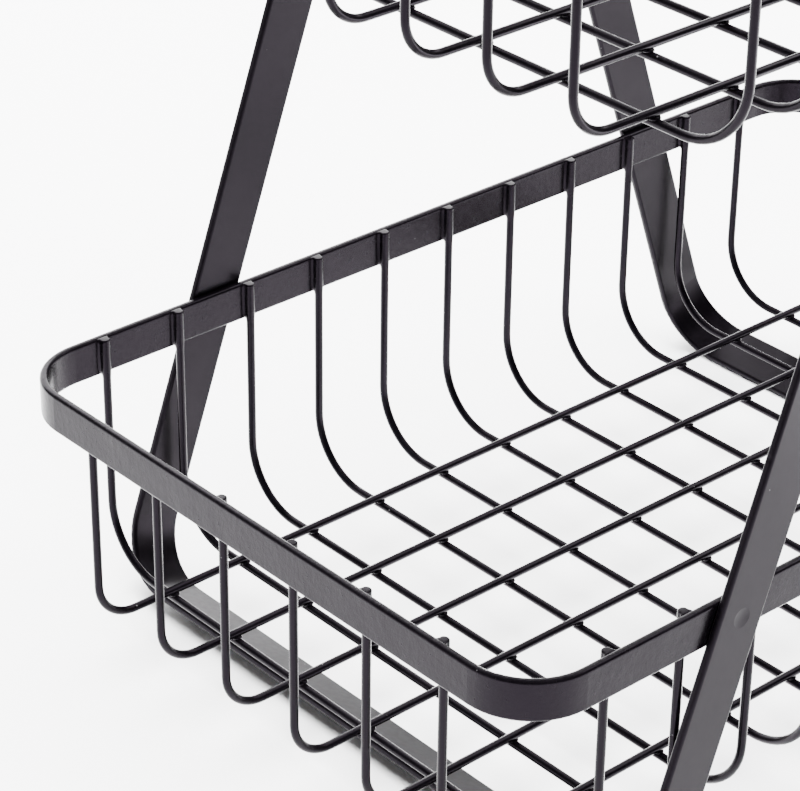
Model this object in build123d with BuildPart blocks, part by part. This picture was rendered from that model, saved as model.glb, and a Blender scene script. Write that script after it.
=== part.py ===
from build123d import *
from math import cos, radians, sin
import os

# Two-tier wire basket on two leaning flat-bar hoops.
# Lengths are in millimetres. X runs along the baskets, Y across them and Z up.
# The origin is on the floor, midway between the hoops.

# Baskets: outside sizes over the rims, and the spaces below, between and above them
basket_depth = 257.0
basket_height = 91.0
lower_length = 396.0
upper_length = 308.0
floor_clearance = 18.0
tier_clearance = 143.0
handle_rise = 48.0

# Rims: flat bar standing on edge, bent to a rounded rectangle
rim_height = 14.5
rim_thickness = 3.0
rim_corner = 25.0
rim_edge_round = 1.2

# Wires: round rod bent to a U, with the long wires laid over the cross wires
wire_diameter = 3.0
cross_wire_bend = 24.0
long_wire_bend = 15.0
wire_rise = 0.2
wire_end_bevel = 0.5
lower_cross_count = 11
upper_cross_count = 8
long_count = 6

# Hoops: flat bar bent to a closed loop, one at each side, leaning in to the handle
hoop_lean = 19.5
bar_width = 20.0
bar_thickness = 3.0
bar_bend = 24.0
bar_edge_round = 1.2

# Welds: the small space left at each joint, and the dish that a spot weld leaves
weld_gap = 0.1
weld_dish_diameter = 7.0
weld_dish_depth = 0.3

# Levels that follow from the baskets
lower_rim_top = floor_clearance + basket_height
upper_rim_top = lower_rim_top + tier_clearance + basket_height
handle_top = upper_rim_top + handle_rise

# Wire places that follow from the rims
wire_radius = wire_diameter / 2
wire_inset = rim_thickness + weld_gap + wire_radius
cross_span = basket_depth - 2 * wire_inset

# Hoop places that follow from its lean: it stands on its rounded inner edge, and its
# rounded outer edge is the highest line of the handle
lean_sin = sin(radians(hoop_lean))
lean_cos = cos(radians(hoop_lean))
edge_reach = bar_width / 2 - bar_edge_round
hoop_foot = (bar_edge_round + edge_reach * lean_sin) / lean_cos - bar_edge_round
hoop_top = (handle_top - bar_edge_round - edge_reach * lean_sin) / lean_cos + bar_edge_round
top_edge_reach = (hoop_top - bar_edge_round) * lean_sin + edge_reach * lean_cos
hoop_offset = top_edge_reach + bar_edge_round + weld_gap / 2
hoop_width = basket_depth + 2 * (weld_gap + bar_thickness)
weld_dish_radius = weld_dish_diameter / 2
weld_sphere = (weld_dish_radius**2 + weld_dish_depth**2) / (2 * weld_dish_depth)

os.makedirs("parts", exist_ok=True)


def save(piece, name):
    """Label one finished piece and write it to its own file."""
    piece.label = name
    export_step(piece, f"parts/{name}.step")


def make_rim(length, top):
    """A closed band of flat bar with its rounded edges up and down."""
    with BuildPart() as rim:
        with BuildSketch(Plane.XY.offset(top - rim_height)):
            RectangleRounded(length, basket_depth, rim_corner)
            RectangleRounded(
                length - 2 * rim_thickness,
                basket_depth - 2 * rim_thickness,
                rim_corner - rim_thickness,
                mode=Mode.SUBTRACT,
            )
        extrude(amount=rim_height)
        level_faces = rim.faces().filter_by(Axis.Z).sort_by(Axis.Z)
        fillet(level_faces[0].edges() + level_faces[-1].edges(), rim_edge_round)
    return rim.part


def make_wire(plane, span, bend, low, high):
    """A rod that comes down one wall, crosses the floor and climbs the other wall."""
    with BuildPart() as wire:
        with BuildLine(plane) as route:
            FilletPolyline(
                (-span / 2, high),
                (-span / 2, low),
                (span / 2, low),
                (span / 2, high),
                radius=bend,
            )
        with BuildSketch(Plane(origin=route.line @ 0, z_dir=route.line % 0)):
            Circle(wire_radius)
        sweep()
        end_faces = wire.faces().filter_by(Axis.Z).filter_by(GeomType.PLANE)
        chamfer(end_faces.edges(), wire_end_bevel)
    return wire.part


def make_basket(tier, length, rim_top, cross_count):
    """One tier: its rim, the cross wires, and the long wires that lie over them."""
    save(make_rim(length, rim_top), f"{tier}_rim")

    wire_top = rim_top + wire_rise
    cross_low = rim_top - basket_height + wire_radius
    long_low = cross_low + wire_diameter + weld_gap
    long_span = length - 2 * wire_inset

    cross_pitch = long_span / (cross_count + 1)
    for number in range(1, cross_count + 1):
        place = number * cross_pitch - long_span / 2
        plane = Plane.YZ.offset(place)
        wire = make_wire(plane, cross_span, cross_wire_bend, cross_low, wire_top)
        save(wire, f"{tier}_cross_wire_{number:02d}")

    long_pitch = cross_span / (long_count + 1)
    for number in range(1, long_count + 1):
        place = number * long_pitch - cross_span / 2
        plane = Plane.XZ.offset(-place)
        wire = make_wire(plane, long_span, long_wire_bend, long_low, wire_top)
        save(wire, f"{tier}_long_wire_{number:02d}")


def make_hoop(side):
    """A closed loop of flat bar: foot, two legs outside the rims, and handle bar."""
    up = Vector(-side * lean_sin, 0, lean_cos)
    across = Vector(lean_cos, 0, side * lean_sin)
    base = Vector(side * hoop_offset, 0, 0)
    middle = base + up * ((hoop_foot + hoop_top) / 2)
    hoop_length = hoop_top - hoop_foot
    with BuildPart() as hoop:
        with BuildSketch(Plane(origin=middle, x_dir=(0, 1, 0), z_dir=across)):
            RectangleRounded(hoop_width, hoop_length, bar_bend)
            RectangleRounded(
                hoop_width - 2 * bar_thickness,
                hoop_length - 2 * bar_thickness,
                bar_bend - bar_thickness,
                mode=Mode.SUBTRACT,
            )
        extrude(amount=bar_width / 2, both=True)
        side_faces = hoop.faces().filter_by(Plane(middle, z_dir=across))
        fillet(side_faces.edges(), bar_edge_round)

        # A shallow round dish on the outer face of the leg over each rim weld
        for rim_top in (lower_rim_top, upper_rim_top):
            weld = base + up * ((rim_top - rim_height / 2) / lean_cos)
            dish_y = hoop_width / 2 + weld_sphere - weld_dish_depth
            with Locations((weld.X, dish_y, weld.Z), (weld.X, -dish_y, weld.Z)):
                Sphere(weld_sphere, mode=Mode.SUBTRACT)
    return hoop.part


make_basket("lower", lower_length, lower_rim_top, lower_cross_count)
make_basket("upper", upper_length, upper_rim_top, upper_cross_count)
save(make_hoop(-1), "left_hoop")
save(make_hoop(1), "right_hoop")
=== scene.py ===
import bpy
from math import cos, pi, radians, sin
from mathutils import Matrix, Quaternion, Vector


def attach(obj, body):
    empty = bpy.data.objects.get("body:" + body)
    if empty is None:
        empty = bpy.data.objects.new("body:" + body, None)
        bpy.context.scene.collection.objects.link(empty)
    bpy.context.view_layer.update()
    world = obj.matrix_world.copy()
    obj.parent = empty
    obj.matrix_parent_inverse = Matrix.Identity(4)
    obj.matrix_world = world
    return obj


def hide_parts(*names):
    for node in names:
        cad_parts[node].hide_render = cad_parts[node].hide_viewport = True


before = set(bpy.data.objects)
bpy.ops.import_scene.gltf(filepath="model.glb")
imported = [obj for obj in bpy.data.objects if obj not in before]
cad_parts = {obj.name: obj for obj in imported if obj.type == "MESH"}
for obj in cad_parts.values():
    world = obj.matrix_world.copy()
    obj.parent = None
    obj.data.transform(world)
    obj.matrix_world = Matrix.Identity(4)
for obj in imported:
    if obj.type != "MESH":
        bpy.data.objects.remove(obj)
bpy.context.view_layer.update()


# The rims are flat steel bar set on edge, bent to a rounded rectangle and butt welded.
# They carry a satin black powder coat with a soft orange peel, long faint runs from
# the spray, and a few pale specks.
mm = 0.001
coat_tone = (0.0008, 0.0006, 0.0009, 1.0)
coat_tone_worn = (0.0020, 0.0016, 0.0022, 1.0)
tone_band = (0.35, 0.72)
coat_shine = 0.070
shine_tint = (0.93, 0.76, 1.0, 1.0)

# The coat's patterns: a scale is cells to a metre, a size is a share of one cell
streak_scale = 480.0
streak_detail = 4.0
streak_stretch = (1.0, 1.0, 0.75)
gloss_band = (0.3, 0.7)
dimple_scale = 1500.0
dimple_detail = 2.0
cloud_scale = 45.0
cloud_detail = 5.0
speck_tone = (0.05, 0.048, 0.05, 1.0)
speck_scale = 115.0
speck_size = 0.032
speck_depth = 0.04 * mm
hollow_scale = 42.0
hollow_floor = 0.02
hollow_edge = 0.07
hollow_depth = 0.10 * mm


def fill(tree, node, inputs):
    """Gives each input of a node its value, or joins it to another node's output."""
    for socket, source in inputs.items():
        if isinstance(source, bpy.types.NodeSocket):
            tree.links.new(source, node.inputs[socket])
        else:
            node.inputs[socket].default_value = source


def add_node(tree, kind, inputs):
    """A new node with its inputs filled."""
    node = tree.nodes.new(kind)
    fill(tree, node, inputs)
    return node


def add_math(tree, operation, first, second):
    """The result of a Math node on two values or outputs."""
    node = tree.nodes.new("ShaderNodeMath")
    node.operation = operation
    fill(tree, node, {0: first, 1: second})
    return node.outputs["Value"]


def powder_coat(name, gloss, peel, flow, wave):
    """A black coat: gloss is its roughness range; peel, flow and wave are bump heights."""
    material = bpy.data.materials.new(name)
    material.use_nodes = True
    tree = material.node_tree
    place = tree.nodes.new("ShaderNodeTexCoord").outputs["Object"]

    stretch = add_node(tree, "ShaderNodeMapping", {"Vector": place, "Scale": streak_stretch})
    streaks = add_node(tree, "ShaderNodeTexNoise", {
        "Vector": stretch.outputs["Vector"],
        "Scale": streak_scale,
        "Detail": streak_detail,
    })
    dimples = add_node(tree, "ShaderNodeTexNoise", {
        "Vector": place,
        "Scale": dimple_scale,
        "Detail": dimple_detail,
    })
    clouds = add_node(tree, "ShaderNodeTexNoise", {
        "Vector": place,
        "Scale": cloud_scale,
        "Detail": cloud_detail,
    })
    grit = add_node(tree, "ShaderNodeTexVoronoi", {"Vector": place, "Scale": speck_scale})
    speck = add_math(tree, "LESS_THAN", grit.outputs["Distance"], speck_size)
    hollows = add_node(tree, "ShaderNodeTexVoronoi", {"Vector": place, "Scale": hollow_scale})
    hollow = tree.nodes.new("ShaderNodeMapRange")
    hollow.interpolation_type = "SMOOTHSTEP"
    fill(tree, hollow, {
        "Value": hollows.outputs["Distance"],
        "From Min": hollow_floor,
        "From Max": hollow_edge,
    })

    tones = add_node(tree, "ShaderNodeValToRGB", {"Fac": clouds.outputs["Fac"]})
    ramp = zip(tones.color_ramp.elements, tone_band, (coat_tone, coat_tone_worn))
    for element, position, tone in ramp:
        element.position = position
        element.color = tone
    # A Mix node's colours go by number, because its inputs of other kinds share their names
    speckled = tree.nodes.new("ShaderNodeMix")
    speckled.data_type = "RGBA"
    fill(tree, speckled, {"Factor": speck, 6: tones.outputs["Color"], 7: speck_tone})

    roughness = add_node(tree, "ShaderNodeMapRange", {
        "Value": streaks.outputs["Fac"],
        "From Min": gloss_band[0],
        "From Max": gloss_band[1],
        "To Min": gloss[0],
        "To Max": gloss[1],
    })

    normal = {}
    for pattern, relief in (
        (clouds.outputs["Fac"], wave),
        (streaks.outputs["Fac"], flow),
        (dimples.outputs["Fac"], peel),
        (hollow.outputs["Result"], hollow_depth),
        (speck, speck_depth),
    ):
        bump = add_node(tree, "ShaderNodeBump", {"Height": pattern, "Distance": relief, **normal})
        normal = {"Normal": bump.outputs["Normal"]}

    fill(tree, tree.nodes["Principled BSDF"], {
        "Base Color": speckled.outputs[2],
        "Roughness": roughness.outputs["Result"],
        "Specular IOR Level": coat_shine,
        "Specular Tint": shine_tint,
        **normal,
    })
    return material


def coat_nodes(names, coat):
    """Puts a coat on pieces that come from the frame."""
    for name in names:
        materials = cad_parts[name].data.materials
        materials.clear()
        materials.append(coat)


rim_coat = powder_coat(
    "rim_coat", gloss=(0.20, 0.28), peel=0.025 * mm, flow=0.07 * mm, wave=0.30 * mm
)
coat_nodes(("lower_rim", "upper_rim"), rim_coat)


# The hoops are the same flat bar, bent to a closed loop. The four spot welds that hold
# the rims show as shallow dishes on the outer faces of the legs. Their coat is smoother
# and a little duller than that of the rims.
hoop_coat = powder_coat(
    "hoop_coat", gloss=(0.30, 0.37), peel=0.002 * mm, flow=0.006 * mm, wave=0.06 * mm
)
coat_nodes(("left_hoop", "right_hoop"), hoop_coat)


# The cages are round rod bent to a U, the cross wires under the long wires. Each row is
# one rod repeated at an even pitch, and its ends stop part of the way up the rim, inside
# the welded feet of the next section.
depth = 257.0 * mm
height = 91.0 * mm
rim_height = 14.5 * mm
rim_thickness = 3.0 * mm
wire_radius = 1.5 * mm
weld_gap = 0.1 * mm
cross_bend = 24.0 * mm
long_bend = 15.0 * mm
rod_end_drop = 8.5 * mm
bend_steps = 12
rod_sides = 16
wire_inset = rim_thickness + weld_gap + wire_radius
half_cross = depth / 2 - wire_inset

# Each tier: its name, its length, its rim's top, and how many cross and long wires
tiers = (
    ("lower", 396.0 * mm, 109.0 * mm, 11, 6),
    ("upper", 308.0 * mm, 343.0 * mm, 8, 6),
)


def wire_places(length, cross_count, long_count):
    """Half the span of a tier's long wires, and the pitch of its two rows."""
    half_long = length / 2 - wire_inset
    cross_pitch = 2 * half_long / (cross_count + 1)
    long_pitch = 2 * half_cross / (long_count + 1)
    return half_long, cross_pitch, long_pitch


def new_tree(name, inputs):
    """A Geometry Nodes tree with its named inputs, and the outputs that give them."""
    tree = bpy.data.node_groups.new(name, "GeometryNodeTree")
    for label, kind in inputs.items():
        tree.interface.new_socket(label, in_out="INPUT", socket_type=f"NodeSocket{kind}")
    tree.interface.new_socket("Mesh", in_out="OUTPUT", socket_type="NodeSocketGeometry")
    return tree, tree.nodes.new("NodeGroupInput").outputs


def row_places(tree, given):
    """Points in a row at an even pitch."""
    line = add_node(tree, "GeometryNodeMeshLine", {
        "Count": given["Count"],
        "Start Location": given["First"],
        "Offset": given["Step"],
    })
    return line.outputs["Mesh"]


def coat_and_end(tree, given, instances):
    """Ends a tree: the instances made real, shaded smooth and coated."""
    real = add_node(tree, "GeometryNodeRealizeInstances", {"Geometry": instances})
    smooth = add_node(tree, "GeometryNodeSetShadeSmooth", {"Geometry": real.outputs["Geometry"]})
    coated = add_node(tree, "GeometryNodeSetMaterial", {
        "Geometry": smooth.outputs["Geometry"],
        "Material": given["Coat"],
    })
    add_node(tree, "NodeGroupOutput", {"Mesh": coated.outputs["Geometry"]})


def wire_row_tree():
    """A U through four corners, rounded, given its thickness and repeated in a row."""
    tree, given = new_tree("wire_row", {
        "Count": "Int",
        "First": "Vector",
        "Step": "Vector",
        "Corner 1": "Vector",
        "Corner 2": "Vector",
        "Corner 3": "Vector",
        "Corner 4": "Vector",
        "Bend": "Float",
        "Radius": "Float",
        "Coat": "Material",
    })
    corners = tree.nodes.new("GeometryNodeCurvePrimitiveQuadrilateral")
    corners.mode = "POINTS"
    fill(tree, corners, {f"Point {i}": given[f"Corner {i}"] for i in range(1, 5)})
    opened = add_node(tree, "GeometryNodeSetSplineCyclic", {
        "Geometry": corners.outputs["Curve"],
        "Cyclic": False,
    })
    bends = tree.nodes.new("GeometryNodeFilletCurve")
    bends.mode = "POLY"
    fill(tree, bends, {
        "Curve": opened.outputs["Geometry"],
        "Radius": given["Bend"],
        "Count": bend_steps,
    })
    section = add_node(tree, "GeometryNodeCurvePrimitiveCircle", {
        "Resolution": rod_sides,
        "Radius": given["Radius"],
    })
    rod = add_node(tree, "GeometryNodeCurveToMesh", {
        "Curve": bends.outputs["Curve"],
        "Profile Curve": section.outputs["Curve"],
        "Fill Caps": True,
    })
    row = add_node(tree, "GeometryNodeInstanceOnPoints", {
        "Points": row_places(tree, given),
        "Instance": rod.outputs["Mesh"],
    })
    coat_and_end(tree, given, row.outputs["Instances"])
    return tree


def grow(name, tree, values, start=None):
    """Runs a tree once on an object of its own and keeps the result as a plain mesh."""
    piece = bpy.data.objects.new(name, start or bpy.data.meshes.new(name))
    bpy.context.scene.collection.objects.link(piece)
    modifier = piece.modifiers.new("grow", "NODES")
    modifier.node_group = tree
    for item in tree.interface.items_tree:
        if item.item_type == "SOCKET" and item.in_out == "INPUT" and item.name in values:
            modifier[item.identifier] = values[item.name]
    graph = bpy.context.evaluated_depsgraph_get()
    mesh = bpy.data.meshes.new_from_object(piece.evaluated_get(graph))
    piece.modifiers.clear()
    piece.data = mesh
    mesh.name = name
    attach(piece, "root")
    return piece


wire_coat = powder_coat(
    "wire_coat", gloss=(0.19, 0.25), peel=0.006 * mm, flow=0.012 * mm, wave=0.05 * mm
)
wire_row = wire_row_tree()
for tier, length, rim_top, cross_count, long_count in tiers:
    half_long, cross_pitch, long_pitch = wire_places(length, cross_count, long_count)
    top = rim_top - rod_end_drop
    cross_low = rim_top - height + wire_radius
    long_low = cross_low + 2 * wire_radius + weld_gap
    cross_wires = grow(f"{tier}_cross_wires", wire_row, {
        "Count": cross_count,
        "First": (cross_pitch - half_long, 0.0, 0.0),
        "Step": (cross_pitch, 0.0, 0.0),
        "Corner 1": (0.0, -half_cross, top),
        "Corner 2": (0.0, -half_cross, cross_low),
        "Corner 3": (0.0, half_cross, cross_low),
        "Corner 4": (0.0, half_cross, top),
        "Bend": cross_bend,
        "Radius": wire_radius,
        "Coat": wire_coat,
    })
    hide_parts(*[f"{tier}_cross_wire_{i:02d}" for i in range(1, cross_count + 1)])
    long_wires = grow(f"{tier}_long_wires", wire_row, {
        "Count": long_count,
        "First": (0.0, long_pitch - half_cross, 0.0),
        "Step": (0.0, long_pitch, 0.0),
        "Corner 1": (-half_long, 0.0, top),
        "Corner 2": (-half_long, 0.0, long_low),
        "Corner 3": (half_long, 0.0, long_low),
        "Corner 4": (half_long, 0.0, top),
        "Bend": long_bend,
        "Radius": wire_radius,
        "Coat": wire_coat,
    })
    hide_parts(*[f"{tier}_long_wire_{i:02d}" for i in range(1, long_count + 1)])


# Every wire end is resistance welded inside its rim. The press flattens the rod a little
# and the coat fills the corners beside it, so each end is a short wide foot with a
# domed tip that runs over onto the rim's top edge.
end_wide = 1.75 * mm
end_deep = 1.5 * mm
corner_fill = 0.8 * mm
edge_drop = 0.55 * mm
wall = weld_gap + wire_radius
buried = 0.5 * mm
foot_length = rim_height + 2.0 * mm

# A level's outline: an arc round its open side, then a web that flares out to the rim.
# Its angles are in degrees.
arc_start = -90.0
arc_step = 20.0
arc_steps = 5
arc_end = arc_start + arc_steps * arc_step
web_step = 14.0
web_steps = 5
web_flare = 2.4

# How far the tips stand below the rim's top, and how much their heights differ. In a row
# of long wires each tip stands a little lower than the one before it, and those past the
# fourth a good deal lower.
cross_tip_drop = 0.1 * mm
cross_tip_lift = 0.12 * mm
cross_tip_seed = 3
long_tip_drop = 0.5 * mm
long_tip_step = -0.2 * mm
long_tip_lift = 0.08 * mm
long_tip_sink = -2.4 * mm
long_tip_seed = 7
last_high_tip = 3.0


def end_outline(wide, deep, fill_width, pressed=1.0):
    """A level of the foot: a round rod where pressed is 0, with a web to the rim at 1."""
    half = []
    for step in range(arc_steps + 1):
        turn = radians(arc_start + step * arc_step)
        half.append((wide * cos(turn), deep * sin(turn)))
    arc_end_y = deep * sin(radians(arc_end))
    for step in range(1, web_steps + 1):
        share = min(step / (web_steps - 1), 1.0)
        turn = radians(arc_end + step * web_step)
        web_x = wide + fill_width * share**web_flare
        web_y = arc_end_y * (1 - share) + wall * share
        if step == web_steps:
            web_y += buried
        round_x = wide * cos(turn)
        round_y = deep * sin(turn)
        half.append((round_x + (web_x - round_x) * pressed, round_y + (web_y - round_y) * pressed))
    return half + [(-x, y) for x, y in reversed(half[1:])]


def end_mesh():
    """The foot as rings from below the rim up to a domed tip."""
    # Each level: its height from the rim's top, half width, depth, share of the corner
    # fill, and how far it is pressed
    levels = (
        (-foot_length, wire_radius * 0.97, wire_radius * 0.97, 0.0, 0.0),
        (-rim_height - 0.6 * mm, wire_radius, wire_radius, 0.0, 0.0),
        (-rim_height + 0.3 * mm, wire_radius * 1.04, wire_radius, 0.2, 0.35),
        (-rim_height + 1.2 * mm, end_wide * 0.94, end_deep, 0.7, 1.0),
        (-rim_height + 2.4 * mm, end_wide, end_deep, 1.0, 1.0),
        (-3.0 * mm, end_wide, end_deep, 1.0, 1.0),
        (-1.6 * mm, end_wide, end_deep, 1.0, 1.0),
        (-edge_drop, end_wide, end_deep, 0.9, 1.0),
    )
    # Each ring of the tip: its share of the foot's outline, and of the drop at its edge
    tip_rings = (
        (0.99, 0.62),
        (0.955, 0.34),
        (0.90, 0.15),
        (0.82, 0.04),
        (0.70, 0.0),
        (0.40, -0.05),
    )
    tip_fill = 0.3
    tip_fill_gain = 0.6
    tip_lean = 0.4

    rings = []
    for z, wide, deep, fill_share, pressed in levels:
        outline = end_outline(wide, deep, corner_fill * fill_share, pressed)
        rings.append([(x, y, z) for x, y in outline])
    for share, drop in tip_rings:
        outline = end_outline(end_wide, end_deep, corner_fill * (tip_fill + tip_fill_gain * drop))
        shift = wall * tip_lean * (1 - share)
        rings.append([(x * share, y * share + shift, -edge_drop * drop) for x, y in outline])
    points = [point for ring in rings for point in ring]
    count = len(rings[0])
    faces = []
    for level in range(len(rings) - 1):
        for step in range(count):
            low = level * count + step
            low_next = level * count + (step + 1) % count
            faces.append((low, low_next, low_next + count, low + count))
    faces.append(tuple(range(count))[::-1])
    faces.append(tuple(range(len(points) - count, len(points))))
    mesh = bpy.data.meshes.new("wire_end")
    mesh.from_pydata(points, [], faces)
    return mesh


def end_rows_tree():
    """Repeats the foot along one wall of a basket and, turned round, along the other."""
    tree, given = new_tree("end_rows", {
        "Foot": "Geometry",
        "Count": "Int",
        "First": "Vector",
        "Step": "Vector",
        "Turn": "Vector",
        "Lift": "Float",
        "Sink": "Float",
        "Seed": "Int",
        "Lower End": "Float",
        "Coat": "Material",
    })
    index = tree.nodes.new("GeometryNodeInputIndex").outputs["Index"]
    steps_past = add_math(tree, "SUBTRACT", index, last_high_tip)
    steps_down = add_math(tree, "MAXIMUM", steps_past, 0.0)
    downward = add_node(tree, "ShaderNodeCombineXYZ", {
        "Z": add_math(tree, "MULTIPLY", steps_down, given["Sink"]),
    })
    sunk = add_node(tree, "GeometryNodeSetPosition", {
        "Geometry": row_places(tree, given),
        "Offset": downward.outputs["Vector"],
    })

    # Only the tip sinks: the foot is squeezed, so that its lower end stays where it is
    position = tree.nodes.new("GeometryNodeInputPosition").outputs["Position"]
    place = add_node(tree, "ShaderNodeSeparateXYZ", {"Vector": position})
    room = add_math(tree, "SUBTRACT", place.outputs["Z"], given["Lower End"])
    squeeze = add_node(tree, "ShaderNodeCombineXYZ", {
        "X": 1.0,
        "Y": 1.0,
        "Z": add_math(tree, "DIVIDE", room, foot_length),
    })
    row = add_node(tree, "GeometryNodeInstanceOnPoints", {
        "Points": sunk.outputs["Geometry"],
        "Instance": given["Foot"],
        "Rotation": given["Turn"],
        "Scale": squeeze.outputs["Vector"],
    })
    other = add_node(tree, "GeometryNodeTransform", {
        "Geometry": row.outputs["Instances"],
        "Rotation": (0.0, 0.0, pi),
    })
    both = add_node(tree, "GeometryNodeJoinGeometry", {"Geometry": other.outputs["Geometry"]})
    fill(tree, both, {"Geometry": row.outputs["Instances"]})

    # A Random Value node's limits and result go by number too, for the same reason
    uneven = tree.nodes.new("FunctionNodeRandomValue")
    uneven.data_type = "FLOAT"
    fill(tree, uneven, {
        2: add_math(tree, "MULTIPLY", given["Lift"], -1.0),
        3: given["Lift"],
        "Seed": given["Seed"],
    })
    upward = add_node(tree, "ShaderNodeCombineXYZ", {"Z": uneven.outputs[1]})
    shifted = add_node(tree, "GeometryNodeTranslateInstances", {
        "Instances": both.outputs["Geometry"],
        "Translation": upward.outputs["Vector"],
    })
    coat_and_end(tree, given, shifted.outputs["Instances"])
    return tree


end_coat = powder_coat(
    "end_coat", gloss=(0.20, 0.28), peel=0.008 * mm, flow=0.02 * mm, wave=0.08 * mm
)
end_rows = end_rows_tree()
for number, (tier, length, rim_top, cross_count, long_count) in enumerate(tiers):
    half_long, cross_pitch, long_pitch = wire_places(length, cross_count, long_count)
    cross_ends = grow(f"{tier}_cross_ends", end_rows, {
        "Count": cross_count,
        "First": (cross_pitch - half_long, half_cross, rim_top - cross_tip_drop),
        "Step": (cross_pitch, 0.0, 0.0),
        "Turn": (0.0, 0.0, 0.0),
        "Lift": cross_tip_lift,
        "Sink": 0.0,
        "Seed": cross_tip_seed + number,
        "Lower End": rim_top - foot_length,
        "Coat": end_coat,
    }, end_mesh())
    long_ends = grow(f"{tier}_long_ends", end_rows, {
        "Count": long_count,
        "First": (-half_long, long_pitch - half_cross, rim_top - long_tip_drop),
        "Step": (0.0, long_pitch, long_tip_step),
        "Turn": (0.0, 0.0, radians(90.0)),
        "Lift": long_tip_lift,
        "Sink": long_tip_sink,
        "Seed": long_tip_seed + number,
        "Lower End": rim_top - foot_length,
        "Coat": end_coat,
    }, end_mesh())


# Where two wires cross, the weld squeezes a small bead of metal out between them. The
# coat covers it as it does the wire ends, and no two beads have quite the same size.
bead_wide = 2.0 * mm
bead_thick = 0.8 * mm
bead_sides = 14
bead_levels = 6

# How far a bead leans in radians, and the least and the most that its size is scaled
bead_lean = 0.1
bead_least = 0.85
bead_most = 1.15
bead_seed = 11


def bead_mesh():
    """A flattened bead of a few dozen faces."""
    points = [(0.0, 0.0, -bead_thick)]
    for level in range(1, bead_levels):
        turn = radians(-90.0 + level * 180.0 / bead_levels)
        for step in range(bead_sides):
            round_turn = 2 * pi * step / bead_sides
            points.append((
                bead_wide * cos(turn) * cos(round_turn),
                bead_wide * cos(turn) * sin(round_turn),
                bead_thick * sin(turn),
            ))
    points.append((0.0, 0.0, bead_thick))
    last = len(points) - 1
    faces = []
    for step in range(bead_sides):
        after = (step + 1) % bead_sides
        faces.append((0, 1 + after, 1 + step))
        faces.append((last, last - bead_sides + step, last - bead_sides + after))
        for level in range(bead_levels - 2):
            low = 1 + level * bead_sides
            high = low + bead_sides
            faces.append((low + step, low + after, high + after, high + step))
    mesh = bpy.data.meshes.new("bead")
    mesh.from_pydata(points, [], faces)
    return mesh


def bead_grid_tree():
    """Repeats the bead at every crossing, no two quite the same size or turn."""
    tree, given = new_tree("bead_grid", {
        "Bead": "Geometry",
        "Count X": "Int",
        "Count Y": "Int",
        "Size X": "Float",
        "Size Y": "Float",
        "Level": "Vector",
        "Seed": "Int",
        "Coat": "Material",
    })
    grid = add_node(tree, "GeometryNodeMeshGrid", {
        "Vertices X": given["Count X"],
        "Vertices Y": given["Count Y"],
        "Size X": given["Size X"],
        "Size Y": given["Size Y"],
    })
    raised = add_node(tree, "GeometryNodeTransform", {
        "Geometry": grid.outputs["Mesh"],
        "Translation": given["Level"],
    })
    turn = tree.nodes.new("FunctionNodeRandomValue")
    turn.data_type = "FLOAT_VECTOR"
    fill(tree, turn, {
        0: (0.0, 0.0, 0.0),
        1: (bead_lean, bead_lean, 2.0 * pi),
        "Seed": given["Seed"],
    })
    scale = tree.nodes.new("FunctionNodeRandomValue")
    scale.data_type = "FLOAT"
    fill(tree, scale, {2: bead_least, 3: bead_most, "Seed": given["Seed"]})
    beads = add_node(tree, "GeometryNodeInstanceOnPoints", {
        "Points": raised.outputs["Geometry"],
        "Instance": given["Bead"],
        "Rotation": turn.outputs[0],
        "Scale": scale.outputs[1],
    })
    coat_and_end(tree, given, beads.outputs["Instances"])
    return tree


bead_grid = bead_grid_tree()
for number, (tier, length, rim_top, cross_count, long_count) in enumerate(tiers):
    cross_pitch, long_pitch = wire_places(length, cross_count, long_count)[1:]
    contact = rim_top - height + 2 * wire_radius + weld_gap / 2
    beads = grow(f"{tier}_crossing_beads", bead_grid, {
        "Count X": cross_count,
        "Count Y": long_count,
        "Size X": cross_pitch * (cross_count - 1),
        "Size Y": long_pitch * (long_count - 1),
        "Level": (0.0, 0.0, contact),
        "Seed": bead_seed + number,
        "Coat": end_coat,
    }, bead_mesh())


# The studio is a plain pale floor before a pale backdrop, under soft light. The backdrop
# is bright near the horizon and dim overhead, which keeps the coat's upward faces dark.
floor_half = 6.0
floor_tone = (0.86, 0.86, 0.865, 1.0)
floor_roughness = 0.6
floor_shine = 0.2
backdrop_tone = (1.0, 1.0, 1.0, 1.0)
horizon_strength = 0.8
zenith_strength = 0.05
dimming_start = 0.08
dimming_end = 0.42

floor_corners = [
    (-floor_half, -floor_half, 0),
    (floor_half, -floor_half, 0),
    (floor_half, floor_half, 0),
    (-floor_half, floor_half, 0),
]
floor_mesh = bpy.data.meshes.new("floor")
floor_mesh.from_pydata(floor_corners, [], [(0, 1, 2, 3)])
floor = bpy.data.objects.new("floor", floor_mesh)
bpy.context.scene.collection.objects.link(floor)
floor_paint = bpy.data.materials.new("floor_paint")
floor_paint.use_nodes = True
fill(floor_paint.node_tree, floor_paint.node_tree.nodes["Principled BSDF"], {
    "Base Color": floor_tone,
    "Roughness": floor_roughness,
    "Specular IOR Level": floor_shine,
})
floor_mesh.materials.append(floor_paint)

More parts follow.
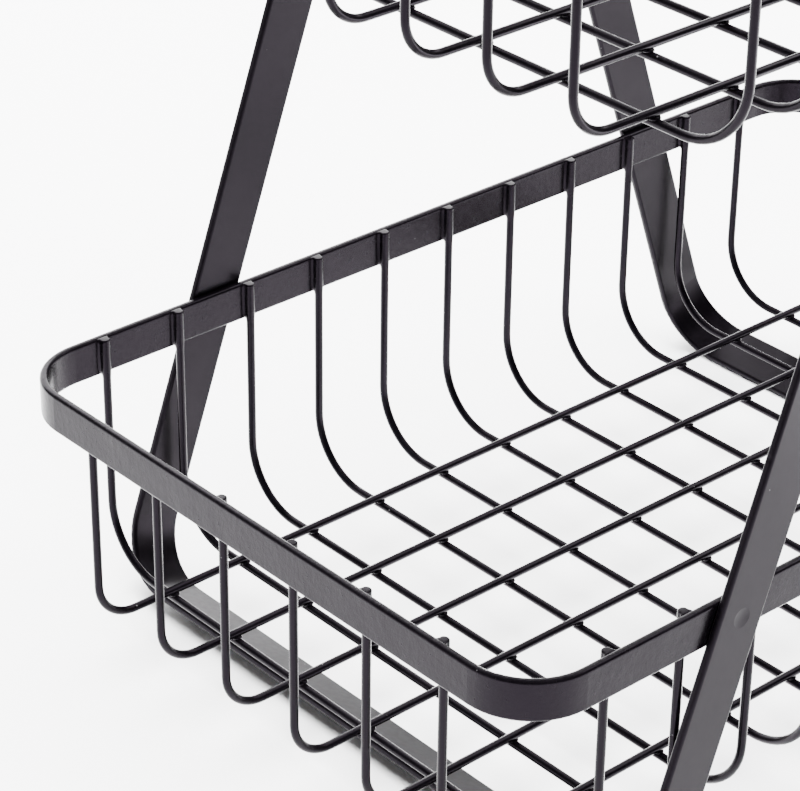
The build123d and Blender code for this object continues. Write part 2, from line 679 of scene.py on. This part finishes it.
world = bpy.data.worlds.new("studio")
bpy.context.scene.world = world
world.use_nodes = True
backdrop = world.node_tree
direction = backdrop.nodes.new("ShaderNodeTexCoord").outputs["Generated"]
upwards = add_node(backdrop, "ShaderNodeSeparateXYZ", {"Vector": direction})
dimming = backdrop.nodes.new("ShaderNodeMapRange")
dimming.interpolation_type = "SMOOTHSTEP"
fill(backdrop, dimming, {
    "Value": upwards.outputs["Z"],
    "From Min": dimming_start,
    "From Max": dimming_end,
    "To Min": horizon_strength,
    "To Max": zenith_strength,
})
fill(backdrop, backdrop.nodes["Background"], {
    "Color": backdrop_tone,
    "Strength": dimming.outputs["Result"],
})


def soft_light(name, place, target, wide, high, power, mirrored=True):
    """A softbox at place, facing target: power in watts, and mirrored if the coat shows it."""
    light = bpy.data.lights.new(name, "AREA")
    light.shape = "RECTANGLE"
    light.size = wide
    light.size_y = high
    light.energy = power
    holder = bpy.data.objects.new(name, light)
    bpy.context.scene.collection.objects.link(holder)
    holder.location = place
    holder.rotation_mode = "QUATERNION"
    holder.rotation_quaternion = (Vector(target) - Vector(place)).to_track_quat("-Z", "Y")
    holder.visible_camera = False
    holder.visible_glossy = mirrored


# The softbox overhead lights the floor, and the coat mirrors the others
soft_light(
    "top_light",
    place=(0.1, 0.1, 2.3), target=(0.0, 0.0, 0.0),
    wide=2.3, high=2.3, power=605.0, mirrored=False,
)
soft_light(
    "window_light",
    place=(0.36, 1.05, 0.57), target=(0.21, 0.0, 0.47),
    wide=1.6, high=0.9, power=46.0,
)
soft_light(
    "high_light",
    place=(0.36, 1.05, 1.27), target=(0.21, 0.0, 0.80),
    wide=1.6, high=0.5, power=12.0,
)
soft_light(
    "left_light",
    place=(-1.6, 0.7, 0.45), target=(0.0, 0.0, 0.2),
    wide=2.2, high=0.9, power=6.0,
)
soft_light(
    "ceiling_light",
    place=(1.10, -0.10, 1.45), target=(0.0, 0.0, 0.15),
    wide=1.1, high=0.9, power=30.0,
)

# Two panels flat on the floor stand for the light that a white table throws up
soft_light(
    "inner_glow",
    place=(0.0, 0.0, 0.001), target=(0.0, 0.0, 1.0),
    wide=0.22, high=0.22, power=0.95,
)
soft_light(
    "right_glow",
    place=(0.46, -0.44, 0.001), target=(0.46, -0.44, 1.0),
    wide=0.60, high=0.60, power=11.0,
)


# The camera stands where the photograph was taken from: in front of the basket at its
# left and a little above it. It is turned, tilted and rolled by the angles below, which
# are in degrees, and its lens and sensor are in millimetres.
camera_place = (-0.6961, -0.6336, 0.6166)
camera_azimuth = -41.59
camera_elevation = 29.84
camera_roll = 0.710
camera_lens = 136.08
sensor_width = 36.0
clip_near = 0.05
clip_far = 50.0
camera_data = bpy.data.cameras.new("camera")
camera_data.sensor_width = sensor_width
camera_data.lens = camera_lens
camera_data.clip_start = clip_near
camera_data.clip_end = clip_far
camera = bpy.data.objects.new("camera", camera_data)
bpy.context.scene.collection.objects.link(camera)
turned = Quaternion((0, 0, 1), radians(camera_azimuth))
tilted = Quaternion((1, 0, 0), -radians(camera_elevation))
rolled = Quaternion((0, 0, 1), radians(camera_roll))
forward = turned @ tilted @ Vector((0, 1, 0))
camera.location = camera_place
camera.rotation_mode = "QUATERNION"
camera.rotation_quaternion = forward.to_track_quat("-Z", "Y") @ rolled
bpy.context.scene.camera = camera
